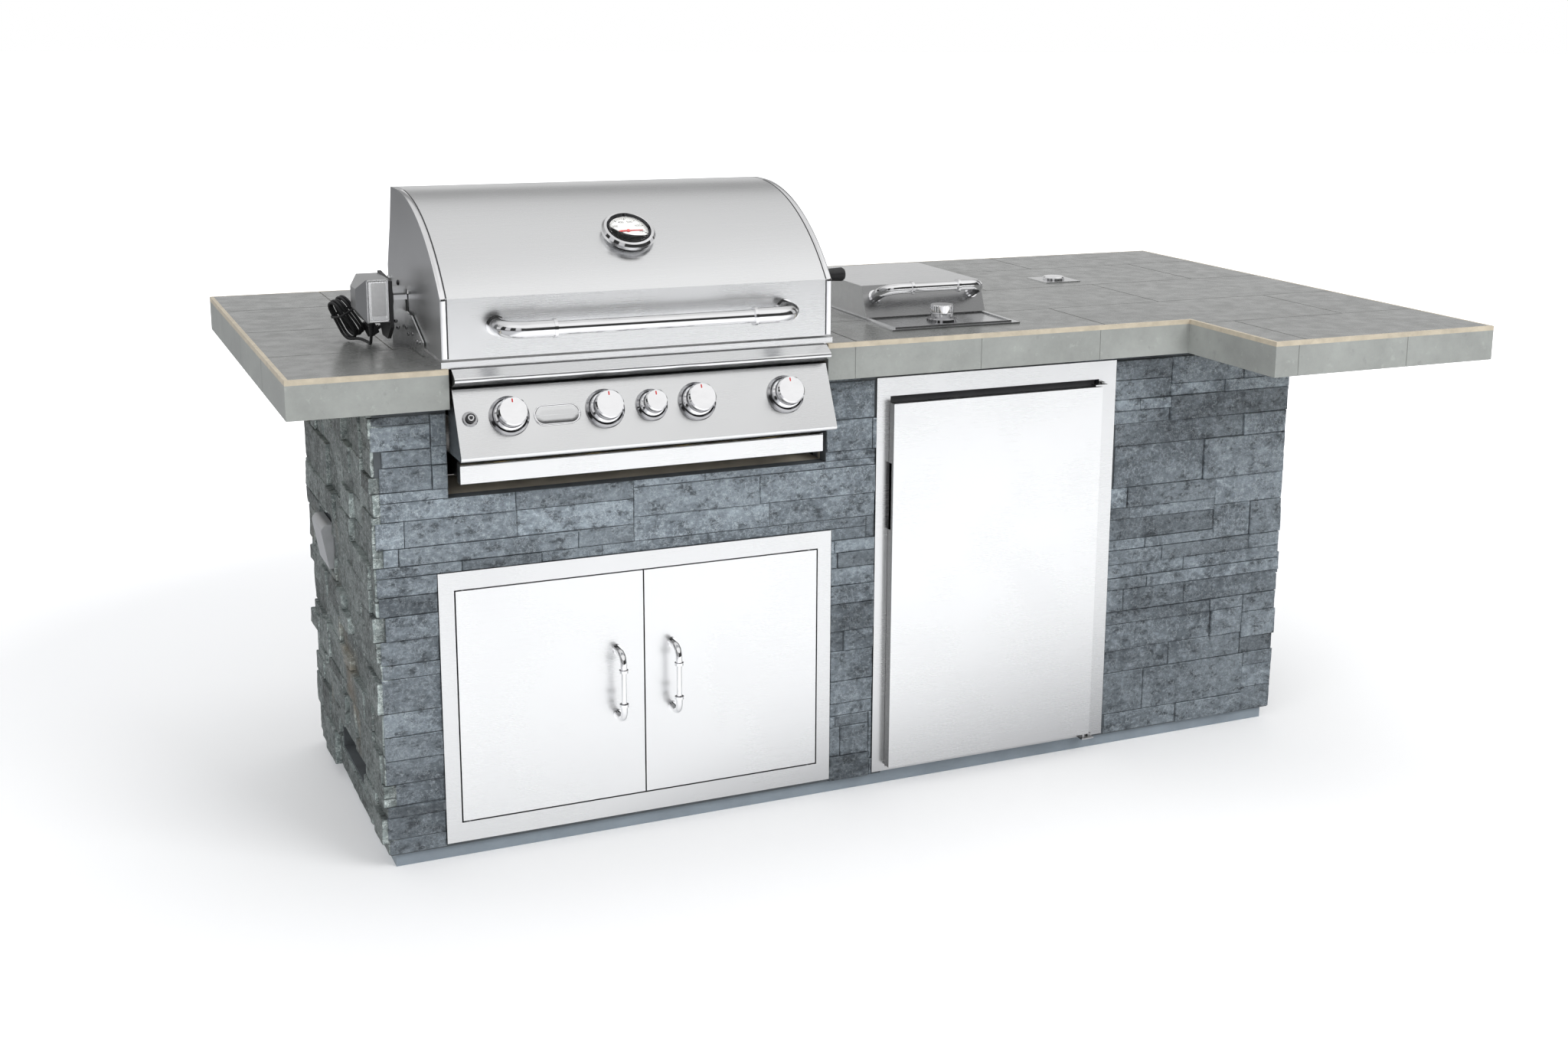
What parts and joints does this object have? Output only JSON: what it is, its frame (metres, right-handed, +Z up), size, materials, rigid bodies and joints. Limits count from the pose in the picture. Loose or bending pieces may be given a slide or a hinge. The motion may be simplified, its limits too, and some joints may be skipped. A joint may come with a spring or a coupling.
{
  "type": "outdoor kitchen island",
  "caption": "Stone-clad outdoor kitchen island with an L-shaped tiled counter, gas grill with rotisserie, side burner, access doors and a compact refrigerator.",
  "frame": {"origin": "middle of the counter's outline, on the floor", "axes": "+X to the right seen from the front, +Y to the back, +Z up; the front faces -Y"},
  "size_m": [2.595, 1.428, 1.334],
  "materials": {
    "stone": "split-face ledger stone, rough",
    "plinth": "painted render",
    "frame_steel": "galvanised tube",
    "cement_board": "cement board",
    "tile": "satin porcelain with narrow grout",
    "apron": "matt concrete look",
    "trim": "cream edge trim",
    "stainless": "brushed",
    "chrome": "polished",
    "brass": "plain",
    "cast_iron": "matt enamel",
    "black_plastic": "moulded",
    "cord_rubber": "flexible lead",
    "needle": "painted pointer",
    "fridge_body": "painted case with foam"
  },
  "bodies": {
    "island": {"stone_front": "stone", "stone_ends": "stone", "stone_back": "stone", "plinth_rail": "plinth", "steel_frame": "frame_steel", "backer_boards": "cement_board", "counter_deck": "cement_board", "counter_tiles": "tile", "apron_tiles": "apron", "edge_trim": "trim", "grill_firebox": "stainless", "panel_bullnose": "stainless", "control_panel": "stainless", "main_burners": "stainless", "flame_tamers": "stainless", "rear_burner": "stainless", "warming_rack": "stainless", "spit_brackets": "stainless", "motor_case": "stainless", "burner_tray": "stainless", "door_frame": "stainless", "fridge_frame": "stainless", "umbrella_sleeve": "stainless", "knob_bezels": "chrome", "fridge_shelves": "chrome", "vent_grille": "chrome", "gas_manifold": "brass", "cooking_grates": "cast_iron", "burner_head": "cast_iron", "pan_support": "cast_iron", "motor_plate": "black_plastic", "cord_plug": "black_plastic", "outlet_box": "black_plastic", "motor_cord": "cord_rubber", "cord_hank": "cord_rubber", "fridge_cabinet": "fridge_body"},
    "hood": {"hood_shell": "stainless", "hood_ends": "chrome", "hood_handle": "chrome", "thermometer_case": "chrome"},
    "needle": {"thermometer_needle": "needle"},
    "knob_1": {"burner_knob_1": "chrome"},
    "knob_2": {"burner_knob_2": "chrome"},
    "knob_3": {"burner_knob_3": "chrome"},
    "knob_4": {"burner_knob_4": "chrome"},
    "rear_knob": {"rear_burner_knob": "chrome"},
    "igniter": {"igniter_button": "black_plastic"},
    "tray": {"drip_tray": "stainless"},
    "spit": {"spit_rod": "chrome", "spit_handle": "black_plastic"},
    "side_lid": {"burner_lid": "stainless", "lid_handle": "chrome"},
    "side_knob": {"side_burner_knob": "chrome"},
    "left_door": {"door_left": "stainless", "door_handle_left": "chrome"},
    "right_door": {"door_right": "stainless", "door_handle_right": "chrome"},
    "cooler_door": {"fridge_door": "stainless"},
    "socket_cover": {"outlet_cover": "chrome"},
    "pole_cap": {"umbrella_cap": "stainless"}
  },
  "joints": [
    {"name": "hood_hinge", "type": "hinge", "parent": "island", "child": "hood", "pos_m": [-0.5975, 0.077, 1.138], "axis": [-1, 0, 0], "range_deg": [0, 85]},
    {"name": "thermometer_pointer", "type": "hinge", "parent": "hood", "child": "needle", "pos_m": [-0.5975, -0.28225, 1.25141], "axis": [0, -0.5625, 0.8268], "range_deg": [-250, 10], "stiffness_Nm_per_rad": 0.001},
    {"name": "knob_1_turn", "type": "hinge", "parent": "island", "child": "knob_1", "pos_m": [-0.8855, -0.41877, 0.9303], "axis": [0, -0.8949, 0.4462], "range_deg": [0, 135]},
    {"name": "knob_2_turn", "type": "hinge", "parent": "island", "child": "knob_2", "pos_m": [-0.6935, -0.41877, 0.9303], "axis": [0, -0.8949, 0.4462], "range_deg": [0, 135]},
    {"name": "knob_3_turn", "type": "hinge", "parent": "island", "child": "knob_3", "pos_m": [-0.5015, -0.41877, 0.9303], "axis": [0, -0.8949, 0.4462], "range_deg": [0, 135]},
    {"name": "knob_4_turn", "type": "hinge", "parent": "island", "child": "knob_4", "pos_m": [-0.3095, -0.41877, 0.9303], "axis": [0, -0.8949, 0.4462], "range_deg": [0, 135]},
    {"name": "rear_knob_turn", "type": "hinge", "parent": "island", "child": "rear_knob", "pos_m": [-0.5975, -0.41877, 0.9303], "axis": [0, -0.8949, 0.4462], "range_deg": [0, 90]},
    {"name": "igniter_push", "type": "slide", "parent": "island", "child": "igniter", "axis": [0, 0.8949, -0.4462], "range_m": [0, 0.004], "stiffness_N_per_m": 1500},
    {"name": "drip_tray_slide", "type": "slide", "parent": "island", "child": "tray", "axis": [0, -1, 0], "range_m": [0, 0.33]},
    {"name": "spit_spin", "type": "hinge", "parent": "island", "child": "spit", "pos_m": [-0.5975, -0.093, 1.123], "axis": [1, 0, 0], "continuous": true},
    {"name": "side_lid_hinge", "type": "hinge", "parent": "island", "child": "side_lid", "pos_m": [0.1495, 0.196, 1.04], "axis": [-1, 0, 0], "range_deg": [0, 92]},
    {"name": "side_knob_turn", "type": "hinge", "parent": "island", "child": "side_knob", "pos_m": [0.1495, -0.227, 1.027], "axis": [0, 0, 1], "range_deg": [0, 135]},
    {"name": "left_door_hinge", "type": "hinge", "parent": "island", "child": "left_door", "pos_m": [-0.9705, -0.341, 0.325], "axis": [0, 0, -1], "range_deg": [0, 110]},
    {"name": "right_door_hinge", "type": "hinge", "parent": "island", "child": "right_door", "pos_m": [-0.2205, -0.341, 0.325], "axis": [0, 0, 1], "range_deg": [0, 110]},
    {"name": "cooler_door_hinge", "type": "hinge", "parent": "island", "child": "cooler_door", "pos_m": [0.4775, -0.362, 0.465], "axis": [0, 0, 1], "range_deg": [0, 105]},
    {"name": "socket_cover_hinge", "type": "hinge", "parent": "island", "child": "socket_cover", "pos_m": [-1.1415, 0.182, 0.595], "axis": [0, 1, 0], "range_deg": [0, 95]},
    {"name": "pole_cap_lift", "type": "slide", "parent": "island", "child": "pole_cap", "axis": [0, 0, 1], "range_m": [0, 0.03]}
  ]
}
